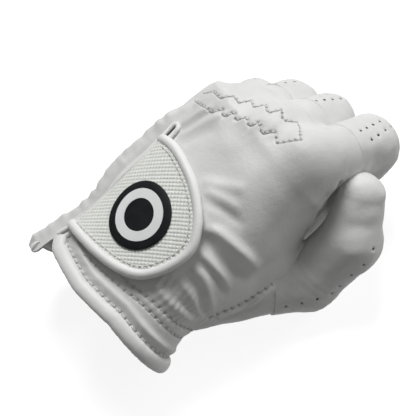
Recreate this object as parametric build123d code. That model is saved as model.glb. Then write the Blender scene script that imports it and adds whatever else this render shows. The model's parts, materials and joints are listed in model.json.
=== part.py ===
from build123d import *
import math
import os

# Left-hand golf glove, men's medium/large, closed round a fist: leather shell, curled fingers
# and thumb, bound cuff with a slit, and a hook-and-loop closure tab. Millimetres.
# Everything is laid out in the hand's own axes (X from the wrist to the fingers, Y to the
# little finger, Z out of the back of the hand) and set down on the table at the end.

LEATHER = 1.0            # wall of every leather panel and finger tube
CUFF_HALF_WIDTH = 36.0   # cuff opening, half its width
CUFF_HALF_DEPTH = 22.0   # cuff opening, half its depth
PITCH = 17.7             # the wrist axis climbs towards the fingers by this angle
BACK_FRONT = 6.0         # back panel ends this far behind the knuckle hinge line
BACK_LIMIT = 86.0        # and no further along the hand than this
PALM_FRONT = 13.0        # palm panel ends this far behind the knuckle hinge line

BINDING_WIDTH = 4.5      # cuff binding, seen width
BINDING_PROUD = 1.1      # cuff binding, thickness over the leather
ELASTIC_GAUGE = 0.8      # sewn-in elastics

SLIT_Y = 21.0            # centre line of the cuff slit, seen from above
SLIT_WIDTH = 3.0
SLIT_LENGTH = 60.0
SLIT_ROLL = 1.5          # rolled edge on each side of the slit
TAB_SEAM_Y = 27.0        # closure tab: hinge seam, then its free end
TAB_FREE_Y = -17.0
TAB_SEAM_X = (9.0, 54.0)
TAB_FREE_X = (15.0, 48.0)
TAB_CORNER = 9.0
TAB_LIFT = 0.3           # hooks stand this far over the loops, so the tab peels off freely
PAD_GAUGE = 1.2          # hook pad and loop pad
FACE_GAUGE = 0.9         # woven face of the tab
PIPING = 1.8             # tube piping round the tab, half its width
BADGE_RADIUS = 13.0
BADGE_GAUGE = 1.2
THREAD = 0.6

# Hand sections along the wrist axis: x, half width, half depth, centre y, centre z
SECTIONS = (
    (-2.0, CUFF_HALF_WIDTH, CUFF_HALF_DEPTH, 0.0, 0.0),
    (3.0, CUFF_HALF_WIDTH - 1.0, CUFF_HALF_DEPTH - 0.8, 0.0, 0.0),
    (13.0, 32.5, 19.5, 1.0, 0.0),
    (26.0, 32.5, 19.0, 1.5, 0.0),
    (42.0, 34.0, 19.0, 2.5, -1.0),
    (60.0, 36.0, 18.5, 4.5, -2.0),
    (76.0, 36.5, 18.0, 8.0, -3.0),
    (94.0, 37.0, 17.0, 9.0, -3.0),
)

# Finger joints (knuckle, middle joint, end joint, tip) and the tube radius at each
FINGERS = {
    "index": (((92, -13, 1), (109.5, -9, -26), (86, -8, -43.3), (68, -9, -33)), (9.0, 9.2, 8.6, 7.6)),
    "middle": (((89, 5, 2), (105, 10, -26), (82, 10, -42.1), (64, 8, -32)), (8.5, 8.8, 8.4, 7.6)),
    "ring": (((84, 21, -2), (98, 27, -28), (77, 26, -41.9), (60, 24, -31)), (7.8, 8.2, 7.1, 6.6)),
    "little": (((75, 34, -8), (88, 43, -32), (70, 39.5, -39.6), (55, 38, -30)), (7.6, 7.6, 6.8, 6.0)),
}
THUMB = (((30, -20, -13), (62, -32, -33), (84, -35, -26), (98, -28, -18)), (14.0, 11.2, 10.0, 8.0))
JOINT_GAP = 0.4          # half the gap between two segments at a bend
HEAD_GAP = 0.5           # a segment's round head inside the tube before it
THREAD_LIFT = LEATHER + THREAD * 0.75
THICK = 2 * LEATHER + HEAD_GAP   # wall of a segment that carries such a head


def span(values, x):
    """Straight-line value between the hand sections."""
    for low, high in zip(values, values[1:]):
        if x <= high[0]:
            part = (x - low[0]) / (high[0] - low[0])
            return tuple(a + (b - a) * part for a, b in zip(low, high))
    return values[-1]


def on_hand(x, angle, lift):
    """Point on the hand, angle in degrees from the back of the hand towards the little finger."""
    _, half_width, half_depth, y, z = span(SECTIONS, x)
    turn = math.radians(angle)
    return Vector(x, y + (half_width + lift) * math.sin(turn), z + (half_depth + lift) * math.cos(turn))


def form(lift):
    """The hand as a solid, grown by lift."""
    faces = [
        Plane(origin=(x, y, z), x_dir=(0, 1, 0), z_dir=(1, 0, 0)) * make_face(Ellipse(a + lift, b + lift).edges())
        for x, a, b, y, z in SECTIONS
    ]
    return loft(faces, ruled=True)


FORMS = {}


def layer(low, high):
    """Skin of the hand between two lifts."""
    for lift in (low, high):
        if lift not in FORMS:
            FORMS[lift] = form(lift)
    return FORMS[high] - FORMS[low]


def block(x, y, z):
    """Box from three (low, high) pairs."""
    size = [high - low for low, high in (x, y, z)]
    middle = [(low + high) / 2 for low, high in (x, y, z)]
    return Pos(*middle) * Box(*size)


def half_space(point, normal):
    """Large block on the side of a plane that its normal points to."""
    reach = 300
    return Plane(origin=point, z_dir=normal) * Pos(0, 0, reach / 2) * Box(reach, reach, reach)


def cone(start, end, r_start, r_end):
    """Round bar between two points, tapered or straight."""
    axis = Vector(*end) - Vector(*start)
    plane = Plane(origin=start, z_dir=axis)
    if abs(r_start - r_end) < 1e-6:
        return Part() + Solid.make_cylinder(r_start, axis.length, plane)
    return Part() + Solid.make_cone(r_start, r_end, axis.length, plane)


def ball(centre, radius):
    return Pos(*centre) * Sphere(radius)


def prism(outline, low=-5.0, high=60.0):
    """Upright prism over an outline drawn from above."""
    return Pos(0, 0, low) * extrude(outline, high - low)


# ---------------------------------------------------------------- outlines seen from above

def slot_outline(grow):
    """Cuff slit with a round inner end, open at the cuff."""
    half = SLIT_WIDTH / 2 + grow
    straight = make_face(Polyline(
        (-20, SLIT_Y - half), (SLIT_LENGTH - half, SLIT_Y - half),
        (SLIT_LENGTH - half, SLIT_Y + half), (-20, SLIT_Y + half), close=True))
    return straight + Pos(SLIT_LENGTH - SLIT_WIDTH / 2, SLIT_Y) * Circle(half)


def tab_outline(inset=0.0):
    """Closure tab: straight hinge seam, tapering to a free end with two round corners."""
    face = make_face(Polyline(
        (TAB_SEAM_X[0] + inset, TAB_SEAM_Y), (TAB_SEAM_X[1] - inset, TAB_SEAM_Y),
        (TAB_FREE_X[1] - inset, TAB_FREE_Y + inset), (TAB_FREE_X[0] + inset, TAB_FREE_Y + inset), close=True))
    free_corners = face.vertices().sort_by(Axis.Y)[:2]
    return fillet(free_corners, TAB_CORNER - inset)


# ---------------------------------------------------------------- hinge directions

KNUCKLE_LINE = (Vector(*FINGERS["index"][0][0]), Vector(*FINGERS["little"][0][0]))
KNUCKLE_AXIS = (KNUCKLE_LINE[1] - KNUCKLE_LINE[0]).normalized()
FORWARD = KNUCKLE_AXIS.cross(Vector(0, 0, 1)).normalized()
NORMAL_UP = FORWARD.cross(KNUCKLE_AXIS) if FORWARD.cross(KNUCKLE_AXIS).Z > 0 else KNUCKLE_AXIS.cross(FORWARD)


def bend(before, joint, after):
    """Directions into and out of a bend, and along it."""
    into = (Vector(*joint) - Vector(*before)).normalized()
    out = (Vector(*after) - Vector(*joint)).normalized()
    return into, out, (into + out).normalized()


def far_cut(before, joint, after):
    """Space that the segment before a bend may fill."""
    into, _, along = bend(before, joint, after)
    centre = Vector(*joint)
    return (half_space(centre - into * JOINT_GAP, into * -1)
            & half_space(centre - along * JOINT_GAP, along * -1))


def near_cut(before, joint, after):
    """Space that the segment after a bend may fill."""
    _, out, along = bend(before, joint, after)
    centre = Vector(*joint)
    return half_space(centre + out * JOINT_GAP, out) & half_space(centre + along * JOINT_GAP, along)


def head(before, joint, after, radius):
    """Round hollow head that turns inside the tube before a bend, open both ways."""
    into, out, _ = bend(before, joint, after)
    centre = Vector(*joint)
    shell = ball(joint, radius - LEATHER - HEAD_GAP) - ball(joint, radius - THICK)
    bore = radius - THICK + 0.2
    tunnel = cone(centre, centre + out * radius * 1.5, bore, bore)
    return (shell - tunnel) & half_space(centre - into * radius * 0.45, into)


def tube(start, end, r_start, r_end, wall):
    return cone(start, end, r_start, r_end) - cone(start, end, r_start - wall, r_end - wall)


def finger_base(points, radii):
    """Tube from the knuckle to the middle joint, with a round hollow knuckle."""
    knuckle, middle, end, _ = points
    into, _, _ = bend(knuckle, middle, end)
    back = Vector(*knuckle) - into * radii[0] * 0.5
    outer = ball(knuckle, radii[0]) + cone(knuckle, middle, radii[0], radii[1])
    inner = ball(knuckle, radii[0] - LEATHER) + cone(
        knuckle, middle, radii[0] - LEATHER, radii[1] - LEATHER)
    return (outer - inner) & far_cut(knuckle, middle, end) & half_space(back, into)


def finger_middle(points, radii):
    """Tube between the middle and end joints, with its head in the base tube."""
    knuckle, middle, end, tip = points
    wall = tube(middle, end, radii[1], radii[2], LEATHER) & far_cut(middle, end, tip)
    collar = tube(middle, end, radii[1], radii[2], THICK) & half_space(
        Vector(*middle) + bend(middle, end, tip)[0] * radii[1], bend(middle, end, tip)[0] * -1)
    return ((wall + collar) & near_cut(knuckle, middle, end)) + head(knuckle, middle, end, radii[1])


def finger_tip(points, radii):
    """Closed end tube, with its head in the middle tube."""
    _, middle, end, tip = points
    outer = cone(end, tip, radii[2], radii[3]) + ball(tip, radii[3])
    inner = cone(end, tip, radii[2] - THICK, radii[3] - LEATHER) + ball(tip, radii[3] - LEATHER)
    return ((outer - inner) & near_cut(middle, end, tip)) + head(middle, end, tip, radii[2])


def thumb_base_solid(grow):
    start, middle = THUMB[0][0], THUMB[0][1]
    return cone(start, middle, THUMB[1][0] + grow, THUMB[1][1] + grow)


# ---------------------------------------------------------------- the hand: panels and cuff

BACK_EDGE = half_space(KNUCKLE_LINE[0] - FORWARD * BACK_FRONT, FORWARD * -1)
PALM_EDGE = half_space(KNUCKLE_LINE[0] - FORWARD * PALM_FRONT, FORWARD * -1)
SKIN = layer(0.0, LEATHER)
FROM_CUFF = block((0, 120), (-90, 90), (-60, 60))
SLOT = prism(slot_outline(0.0))
THUMB_HOLE = thumb_base_solid(-LEATHER) & half_space(THUMB[0][0], (1, 0, 0))


UPPER = block((-20, 140), (-90, 90), (0, 90))
LOWER = block((-20, 140), (-90, 90), (-90, 0))

back_panel = (SKIN & UPPER & block((0, BACK_LIMIT), (-90, 90), (-60, 60)) & BACK_EDGE) - SLOT
palm_panel = (SKIN & LOWER & FROM_CUFF & PALM_EDGE) - THUMB_HOLE
cuff_band = block((-1.5, BINDING_WIDTH - 1.5), (-90, 90), (-60, 60))
cuff_binding = (layer(-BINDING_PROUD, LEATHER + BINDING_PROUD) & cuff_band) - (SKIN & FROM_CUFF)
cuff_binding -= prism(slot_outline(0.0))
slit_ring = prism(slot_outline(SLIT_ROLL)) - prism(slot_outline(0.1))
slit_binding = layer(LEATHER, LEATHER + 1.0) & slit_ring & block(
    (BINDING_WIDTH - 1.2, 90), (-90, 90), (-5, 60))
wrist_elastic = layer(-ELASTIC_GAUGE, 0.0) & block((20, 32), (-90, 10), (0.2, 60))
palm_elastic = layer(-ELASTIC_GAUGE, 0.0) & block((20, 32), (-90, 90), (-60, -0.2))
palm_elastic -= thumb_base_solid(0.5)
wrist_elastic -= thumb_base_solid(0.5)
knuckle_band = half_space(KNUCKLE_LINE[0] - FORWARD * 18, FORWARD) & half_space(
    KNUCKLE_LINE[0] - FORWARD * 10, FORWARD * -1)
knuckle_elastic = layer(-ELASTIC_GAUGE, 0.0) & knuckle_band & block((-5, 140), (-8, 34), (2, 60))
size_label = layer(-ELASTIC_GAUGE, 0.0) & block((6, 17), (-8, 8), (-60, 0))

# ---------------------------------------------------------------- closure tab

LOOP_TOP = LEATHER + PAD_GAUGE
HOOK_LOW = LOOP_TOP + TAB_LIFT
HOOK_TOP = HOOK_LOW + PAD_GAUGE
FACE_LOW = HOOK_TOP + LEATHER
FACE_TOP = FACE_LOW + FACE_GAUGE
PAD_PLAN = Pos((TAB_FREE_X[0] + TAB_FREE_X[1]) / 2, 0) * make_face(
    RectangleRounded(26, 24, 4).edges())

loop_pad = layer(LEATHER, LOOP_TOP) & prism(Pos(0, -2) * PAD_PLAN)
hook_pad = layer(HOOK_LOW, HOOK_TOP) & prism(Pos(0, -1) * PAD_PLAN)
tab_root = layer(LEATHER, HOOK_TOP - TAB_LIFT) & prism(make_face(Polyline(
    (TAB_SEAM_X[0], SLIT_Y + 4), (TAB_SEAM_X[1], SLIT_Y + 4),
    (TAB_SEAM_X[1], TAB_SEAM_Y - 0.5), (TAB_SEAM_X[0], TAB_SEAM_Y - 0.5), close=True)))
tab_body = prism(tab_outline(PIPING))
tab_backing = layer(HOOK_TOP, FACE_LOW) & tab_body
tab_face = layer(FACE_LOW, FACE_TOP) & tab_body
tab_piping = layer(HOOK_TOP, FACE_TOP + 0.5) & (prism(tab_outline()) - tab_body)
BADGE_X = (TAB_FREE_X[0] + TAB_FREE_X[1]) / 2
BADGE_Y = -1.0
badge_disc = prism(Pos(BADGE_X, BADGE_Y) * Circle(BADGE_RADIUS))
badge_inner = prism(Pos(BADGE_X, BADGE_Y) * Circle(BADGE_RADIUS * 0.62))
badge_core = prism(Pos(BADGE_X, BADGE_Y) * Circle(BADGE_RADIUS * 0.46))
badge_inlay = layer(FACE_TOP + BADGE_GAUGE * 0.6, FACE_TOP + BADGE_GAUGE) & (badge_inner - badge_core)
badge = (layer(FACE_TOP, FACE_TOP + BADGE_GAUGE) & badge_disc) - badge_inlay

# ---------------------------------------------------------------- thumb

thumb_start, thumb_knuckle, thumb_joint, thumb_end = THUMB[0]
hand_solid = form(LEATHER)
thumb_base = (
    (thumb_base_solid(0.0) - thumb_base_solid(-LEATHER)) & far_cut(thumb_start, thumb_knuckle, thumb_joint)
) - hand_solid
thumb_middle = finger_middle(THUMB[0], THUMB[1])
thumb_tip = finger_tip(THUMB[0], THUMB[1])

# ---------------------------------------------------------------- fourchettes between the fingers


def fourchette(near, far):
    """Gusset in the fork between two neighbouring base tubes."""
    ends = [Vector(*FINGERS[name][0][i]) for i in (0, 1) for name in (near, far)]
    top = (ends[0] + ends[1]) / 2
    low = (ends[2] + ends[3]) / 2
    run = (low - top).normalized()
    across = (ends[1] - ends[0]).normalized()
    plane = Plane(origin=top + run * 14, x_dir=across, z_dir=run)
    gusset = plane * Box(9, 9, 12)
    for name in (near, far):
        points, radii = FINGERS[name]
        gusset -= cone(points[0], points[1], radii[0] + 0.02, radii[1] + 0.02)
    return gusset


# ---------------------------------------------------------------- stitching


def stitch(start, end):
    """One seen stitch, a short thread lying on the leather."""
    axis = Vector(*end) - Vector(*start)
    middle = (Vector(*start) + Vector(*end)) / 2
    plane = Plane(origin=middle, z_dir=axis)
    return plane * Box(THREAD, THREAD, axis.length)


def stitch_row(route, count, fill=0.6):
    """Row of separate stitches along a route, a function of 0 to 1."""
    stitches = []
    for i in range(count):
        stitches += stitch(route(i / count), route((i + fill) / count)).solids()
    return Compound(children=stitches)


def around_cuff(low_angle, high_angle, x, lift):
    return lambda part: on_hand(x, low_angle + (high_angle - low_angle) * part, lift)


def zigzag(part):
    """Stair-step line over the knuckle elastic."""
    steps = 5
    angle = -22 + 56 * part
    wave = abs((part * steps) % 1.0 - 0.5) * 2
    y = span(SECTIONS, 76)[3] + 36 * math.sin(math.radians(angle))
    line_x = KNUCKLE_LINE[0].X + (y - KNUCKLE_LINE[0].Y) * KNUCKLE_AXIS.X / KNUCKLE_AXIS.Y
    return on_hand(line_x - 10 - 7 * wave, angle, THREAD_LIFT)


cuff_stitching = stitch_row(around_cuff(-150, 30, BINDING_WIDTH + 0.2, THREAD_LIFT), 46)
elastic_stitching = stitch_row(around_cuff(-70, -40, 22, THREAD_LIFT), 8)
elastic_stitching = Compound(children=elastic_stitching.solids() + stitch_row(
    around_cuff(-70, -40, 29, THREAD_LIFT), 8).solids())
knuckle_stitching = stitch_row(zigzag, 34)


def tab_seam(part):
    """Line of the closure tab's seam on the back panel."""
    x = TAB_SEAM_X[0] + 3 + (TAB_SEAM_X[1] - TAB_SEAM_X[0] - 6) * part
    _, half_width, _, y, _ = span(SECTIONS, x)
    return on_hand(x, math.degrees(math.asin((TAB_SEAM_Y + 1.5 - y) / half_width)), THREAD_LIFT)


tab_stitching = stitch_row(tab_seam, 18)

# ---------------------------------------------------------------- nodes, set down on the table

nodes = {
    "back_panel": back_panel,
    "palm_panel": palm_panel,
    "cuff_binding": cuff_binding,
    "slit_binding": slit_binding,
    "wrist_elastic": wrist_elastic,
    "palm_elastic": palm_elastic,
    "knuckle_elastic": knuckle_elastic,
    "size_label": size_label,
    "loop_pad": loop_pad,
    "hook_pad": hook_pad,
    "tab_root": tab_root,
    "tab_backing": tab_backing,
    "tab_face": tab_face,
    "tab_piping": tab_piping,
    "badge": badge,
    "badge_inlay": badge_inlay,
    "thumb_base": thumb_base,
    "thumb_middle": thumb_middle,
    "thumb_tip": thumb_tip,
    "cuff_stitching": cuff_stitching,
    "elastic_stitching": elastic_stitching,
    "knuckle_stitching": knuckle_stitching,
    "tab_stitching": tab_stitching,
}
for name, (points, radii) in FINGERS.items():
    nodes[name + "_base"] = finger_base(points, radii)
    nodes[name + "_middle"] = finger_middle(points, radii)
    nodes[name + "_tip"] = finger_tip(points, radii)
for near, far in (("index", "middle"), ("middle", "ring"), ("ring", "little")):
    nodes[near + "_" + far + "_fourchette"] = fourchette(near, far)

tilt = Rot(0, -PITCH, 0)
tilted = {name: tilt * shape for name, shape in nodes.items()}
box = Compound(children=[Compound(shape.solids()) for shape in tilted.values()]).bounding_box()
set_down = Pos(-(box.min.X + box.max.X) / 2, -(box.min.Y + box.max.Y) / 2, -box.min.Z)

os.makedirs("parts", exist_ok=True)
for name, shape in tilted.items():
    export_step(Compound((set_down * shape).solids()), "parts/" + name + ".step")
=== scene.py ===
import json
import math

import bmesh
import bpy
import numpy as np
from mathutils import Matrix, Vector
from mathutils.kdtree import KDTree


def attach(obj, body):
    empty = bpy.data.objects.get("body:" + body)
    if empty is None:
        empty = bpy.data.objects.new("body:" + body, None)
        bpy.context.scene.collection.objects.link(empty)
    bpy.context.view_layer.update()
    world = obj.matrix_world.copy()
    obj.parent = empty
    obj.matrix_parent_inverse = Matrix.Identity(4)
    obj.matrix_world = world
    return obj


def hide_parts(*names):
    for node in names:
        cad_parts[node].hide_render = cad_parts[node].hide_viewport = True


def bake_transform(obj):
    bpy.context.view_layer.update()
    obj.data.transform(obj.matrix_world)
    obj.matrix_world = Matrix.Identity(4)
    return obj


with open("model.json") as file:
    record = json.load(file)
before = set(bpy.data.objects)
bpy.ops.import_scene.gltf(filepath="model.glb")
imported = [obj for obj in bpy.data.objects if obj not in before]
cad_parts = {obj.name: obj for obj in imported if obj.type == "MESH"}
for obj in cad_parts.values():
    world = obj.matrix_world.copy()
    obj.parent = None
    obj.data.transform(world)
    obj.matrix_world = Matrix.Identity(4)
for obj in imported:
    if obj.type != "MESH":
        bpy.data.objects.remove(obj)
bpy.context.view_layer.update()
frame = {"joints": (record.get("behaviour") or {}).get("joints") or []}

# Left-hand golf glove closed round a fist. Shapes are worked out in the hand's own axes, in
# millimetres: X from the wrist to the fingers, Y to the little finger, Z out of the back of
# the hand. to_row() takes them to the row frame in metres.

LEATHER = 0.8            # leather thickness
CELL = 0.75              # mesh size of the leather
NEEDLE_RADIUS = 0.45     # pits at the ends of the stitches
NEEDLE_DEPTH = 0.85
VENT_RADIUS = 0.58
WEB_SHARE = 0.4          # how much of the leather between hand and thumb stays with the hand
PITCH = math.radians(17.7)   # how far the knuckles are tipped up in the row frame
ROUND = 2.3              # exponent of the hand's sections, which are superellipses

SECTIONS = (             # x, half width, half depth, centre y, centre z
    (-14.0, 36.5, 22.0, 0.0, 0.0),
    (2.0, 35.5, 21.5, 0.0, 0.0),
    (13.0, 32.0, 19.5, 0.8, 0.0),
    (26.0, 31.5, 18.5, 1.5, 0.0),
    (42.0, 33.0, 18.5, 2.5, -1.0),
    (60.0, 34.0, 18.0, 4.5, -2.0),
    (76.0, 32.0, 17.5, 6.5, -2.5),
    (96.0, 30.0, 15.0, 9.0, -3.0),
)
FINGERS = {              # knuckle, middle joint, end joint, tip; radius at each
    "index": (((92, -13, 1), (110.8, -9.6, -26), (87, -8, -43.3), (68, -9, -33)), (11.0, 11.2, 9.5, 8.4)),
    "middle": (((89, 5, 2), (105, 10, -26), (82, 10, -42.1), (64, 8, -32)), (10.8, 10.2, 9.0, 8.2)),
    "ring": (((84, 21, -2), (98, 26, -28), (77, 25, -41.9), (60, 24, -31)), (10.4, 10.0, 8.8, 7.8)),
    "little": (((75, 33, -8), (88, 40.5, -32), (70, 38.5, -39.6), (55, 38, -30)), (9.4, 9.0, 8.0, 7.0)),
}
INDEX_JOINT = (109.5, -9, -26)   # the index finger's middle joint in hand axes
THUMB = (((30, -18, -12), (62, -32, -33), (84, -35, -26), (98, -28, -18)), (13.0, 11.8, 11.5, 9.0))
DIGITS = {**FINGERS, "thumb": THUMB}
# Share of the base segment that belongs to the hand's skin; the finger's own piece starts there.
CUT_SHARE = {"index": 0.52, "middle": 0.6, "ring": 0.62, "little": 0.6, "thumb": 0.62}


def vec(*values):
    return np.array(values, float)


tilt = np.array([
    [math.cos(PITCH), 0, -math.sin(PITCH)],
    [0, 1, 0],
    [math.sin(PITCH), 0, math.cos(PITCH)]])
joints = {j["name"]: j for j in frame["joints"]}
origin = vec(*joints["index_middle_joint"]["pos_m"]) * 1000 - tilt @ vec(*INDEX_JOINT)


def to_row(points):
    """Hand axes in millimetres to the row frame in metres."""
    return (np.asarray(points, float) @ tilt.T + origin) / 1000


def turn_to_row(direction):
    return np.asarray(direction, float) @ tilt.T


def rest_on_floor(points):
    """Flatten, softly, what would sink below the floor."""
    height = to_row(points)[:, 2] * 1000
    flattened = 0.5 * (height + np.sqrt(height ** 2 + 2.0))
    return points + (flattened - height)[:, None] * tilt[2]


# ---- distance fields

def smooth_min(a, b, k):
    """Lower of two fields, with the corner between them rounded over about k."""
    h = np.clip(0.5 + 0.5 * (b - a) / k, 0, 1)
    return b * (1 - h) + a * h - k * h * (1 - h)


def cone(p, start, end, r_start, r_end):
    """Distance to a round bar that tapers from one radius to the other."""
    axis = vec(*end) - vec(*start)
    rel = p - vec(*start)
    t = np.clip(rel @ axis / (axis @ axis), 0, 1)
    return np.linalg.norm(rel - t[:, None] * axis, axis=1) - (r_start + (r_end - r_start) * t)


stations = np.arange(-14.0, 100.0, 1.0)


def eased(column):
    """Section value along the hand, with its corners rounded off."""
    raw = np.interp(stations, [s[0] for s in SECTIONS], [s[column] for s in SECTIONS])
    padded = np.pad(raw, 8, mode="edge")
    weights = np.exp(-0.5 * (np.arange(-8, 9) / 4.0) ** 2)
    return np.convolve(padded, weights / weights.sum(), mode="valid")


half_widths, half_depths, mid_ys, mid_zs = (eased(i) for i in (1, 2, 3, 4))


def section(x):
    """Half width, half depth, centre y and centre z of the hand at x."""
    x = np.clip(x, stations[0], stations[-1])
    return [np.interp(x, stations, values) for values in (half_widths, half_depths, mid_ys, mid_zs)]


def palm_field(p):
    """The plain hand, from the cuff to the knuckles."""
    a, b, cy, cz = section(p[:, 0])
    y = np.abs((p[:, 1] - cy) / a)
    z = np.abs((p[:, 2] - cz) / b)
    d = ((y ** ROUND + z ** ROUND) ** (1 / ROUND) - 1) * np.minimum(a, b) * 1.05
    past = p[:, 0] - 84
    return np.where(past > 0, np.hypot(np.maximum(d, 0), past), d)


def finger_field(p, name):
    """A whole finger or the thumb, from knuckle to tip."""
    points, radii = DIGITS[name]
    d = cone(p, points[0], points[1], radii[0], radii[1])
    d = smooth_min(d, cone(p, points[1], points[2], radii[1], radii[2]), 4.0)
    return smooth_min(d, cone(p, points[2], points[3], radii[2], radii[3]), 3.0)


def cut_side(p, name):
    """Distance past the place where a finger's own tube starts, along its base."""
    start, end = vec(*DIGITS[name][0][0]), vec(*DIGITS[name][0][1])
    axis = end - start
    length = np.linalg.norm(axis)
    return (p - start) @ axis / length - CUT_SHARE[name] * length


def palm_form(p):
    """Palm and back, with the pads at the heel of the hand and beside the thumb."""
    d = palm_field(p)
    d = smooth_min(d, cone(p, (24, 17, -7), (62, 22, -9), 12.5, 12.0), 10.0)
    return smooth_min(d, cone(p, (60, -20, -16), (82, -16, -14), 8.0, 7.0), 8.0)


def root_form(p, name):
    """The part of a finger or the thumb that grows out of the hand."""
    points, radii = DIGITS[name]
    d = cone(p, points[0], points[1], radii[0], radii[1])
    if name != "thumb":
        return d
    stop = vec(*points[1]) + 0.6 * (vec(*points[2]) - vec(*points[1]))
    return smooth_min(d, cone(p, points[1], stop, radii[1], radii[1] + 0.6 * (radii[2] - radii[1])), 4.0)


def hand_field(p):
    """Hand, thumb root and finger bases as one skin."""
    d = palm_form(p)
    fingers = None
    for name, (points, radii) in FINGERS.items():
        knuckle = points[0]
        rib = cone(p, (36, knuckle[1] * 0.6 + 2, 4), knuckle, 9.0, radii[0])
        d = smooth_min(d, rib, 9.0)
        one = root_form(p, name)
        if fingers is None:
            fingers = one
        else:
            near_cut = np.clip(-cut_side(p, name) / 8.0, 0.0, 1.0)
            fingers = smooth_min(fingers, one, 0.4 + 5.0 * near_cut)
    past = np.max([cut_side(p, name) for name in FINGERS], axis=0)
    blend = 0.4 + 7.0 * np.clip(-past / 9.0, 0.0, 1.0)
    d = smooth_min(d, fingers, blend)
    return smooth_min(d, root_form(p, "thumb"), thumb_blend(p))


def thumb_blend(p):
    """How broadly the leather flows from the hand into the thumb, less past the thumb's cut."""
    return 0.3 + 6.7 * np.clip((22.0 - cut_side(p, "thumb")) / 18.0, 0.0, 1.0)


# ---- skins from fields

def gradient(field, p):
    """Unit vectors out of a field's surface."""
    step = 0.25
    g = np.empty_like(p)
    for axis in range(3):
        shift = np.zeros(3)
        shift[axis] = step
        g[:, axis] = field(p + shift) - field(p - shift)
    return g / (np.linalg.norm(g, axis=1, keepdims=True) + 1e-9)


def skin(field, low, high, cell):
    """Quad mesh of a field's zero surface, by surface nets, with its points moved onto it."""
    low, high = vec(*low), vec(*high)
    counts = np.ceil((high - low) / cell).astype(int) + 1
    axes = [low[i] + cell * np.arange(counts[i]) for i in range(3)]
    grid = np.stack(np.meshgrid(*axes, indexing="ij"), -1).reshape(-1, 3)
    values = np.empty(len(grid))
    chunk = 200000
    for i in range(0, len(grid), chunk):
        values[i:i + chunk] = field(grid[i:i + chunk])
    values = values.reshape(counts)
    inside = values < 0
    cells = tuple(counts - 1)
    total = np.zeros(cells + (3,))
    hits = np.zeros(cells)
    corners = [(i, j, k) for i in (0, 1) for j in (0, 1) for k in (0, 1)]

    def corner(c, array):
        return array[c[0]:c[0] + cells[0], c[1]:c[1] + cells[1], c[2]:c[2] + cells[2]]

    for a in corners:
        for axis in range(3):
            if a[axis]:
                continue
            b = list(a)
            b[axis] = 1
            va, vb = corner(a, values), corner(b, values)
            crossing = (va < 0) != (vb < 0)
            t = np.where(crossing, va / np.where(crossing, va - vb, 1), 0)
            point = np.zeros(cells + (3,))
            point[..., 0], point[..., 1], point[..., 2] = a
            point[..., axis] += t
            total += np.where(crossing[..., None], point, 0)
            hits += crossing
    used = hits > 0
    index = np.full(cells, -1)
    index[used] = np.arange(used.sum())
    where = np.argwhere(used)
    verts = low + cell * (where + total[used] / hits[used][:, None])
    faces = []
    for axis in range(3):
        u, v = (axis + 1) % 3, (axis + 2) % 3
        first = np.moveaxis(inside, (axis, u, v), (0, 1, 2))
        ids = np.moveaxis(index, (axis, u, v), (0, 1, 2))
        low_side, high_side = first[:-1, 1:-1, 1:-1], first[1:, 1:-1, 1:-1]
        ring = [ids[:, :-1, :-1], ids[:, 1:, :-1], ids[:, 1:, 1:], ids[:, :-1, 1:]]
        for mask, order in ((low_side & ~high_side, (0, 1, 2, 3)), (~low_side & high_side, (3, 2, 1, 0))):
            faces.append(np.stack([ring[i][mask] for i in order], 1))
    faces = np.concatenate(faces)
    for _ in range(3):
        g = gradient(field, verts)
        verts = verts - np.clip(field(verts), -0.5, 0.5)[:, None] * g
    return verts, [tuple(f) for f in faces.tolist()]


def compact(verts, faces):
    """A mesh without the points that no face uses."""
    used = sorted({i for face in faces for i in face})
    new = {old: i for i, old in enumerate(used)}
    return np.array([verts[i] for i in used]), [tuple(new[i] for i in face) for face in faces]


def clip(verts, faces, value):
    """Part of a mesh where value is below zero, cut exactly along zero."""
    verts = list(map(tuple, np.asarray(verts)))
    value = list(value)
    made = {}
    kept = []

    def crossing(a, b):
        key = (min(a, b), max(a, b))
        if key not in made:
            t = value[a] / (value[a] - value[b])
            made[key] = len(verts)
            verts.append(tuple(verts[a][i] + t * (verts[b][i] - verts[a][i]) for i in range(3)))
            value.append(0.0)
        return made[key]

    for face in faces:
        low = [value[i] < 0 for i in face]
        if all(low):
            kept.append(face)
        elif any(low):
            ring = []
            for here, there in zip(face, face[1:] + face[:1]):
                if value[here] < 0:
                    ring.append(here)
                if (value[here] < 0) != (value[there] < 0):
                    ring.append(crossing(here, there))
            if len(ring) > 2:
                kept.append(tuple(ring))
    return compact(verts, kept)


def vertex_normals(verts, faces):
    """Unit normals weighted by the area of the faces round each point."""
    normals = np.zeros_like(verts)
    for size in {len(f) for f in faces}:
        group = np.array([f for f in faces if len(f) == size])
        centre = verts[group].mean(1)
        area = np.zeros((len(group), 3))
        for i in range(size):
            area += np.cross(verts[group[:, i]] - centre, verts[group[:, (i + 1) % size]] - centre)
        for i in range(size):
            np.add.at(normals, group[:, i], area)
    return normals / (np.linalg.norm(normals, axis=1, keepdims=True) + 1e-12)


def closed(upper, lower, faces):
    """Solid between two copies of an open mesh, with a rim along its open edges."""
    count = len(upper)
    edges = {(a, b): True for face in faces for a, b in zip(face, face[1:] + face[:1])}
    rim = [(b, a, a + count, b + count) for a, b in edges if (b, a) not in edges]
    inner = [tuple(i + count for i in reversed(face)) for face in faces]
    return np.concatenate([upper, lower]), list(faces) + inner + rim


def thicken(verts, faces, depth=LEATHER):
    """Adds an inner face and a rim, so leather has its thickness."""
    return closed(verts, verts - vertex_normals(verts, faces) * depth, faces)


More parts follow.
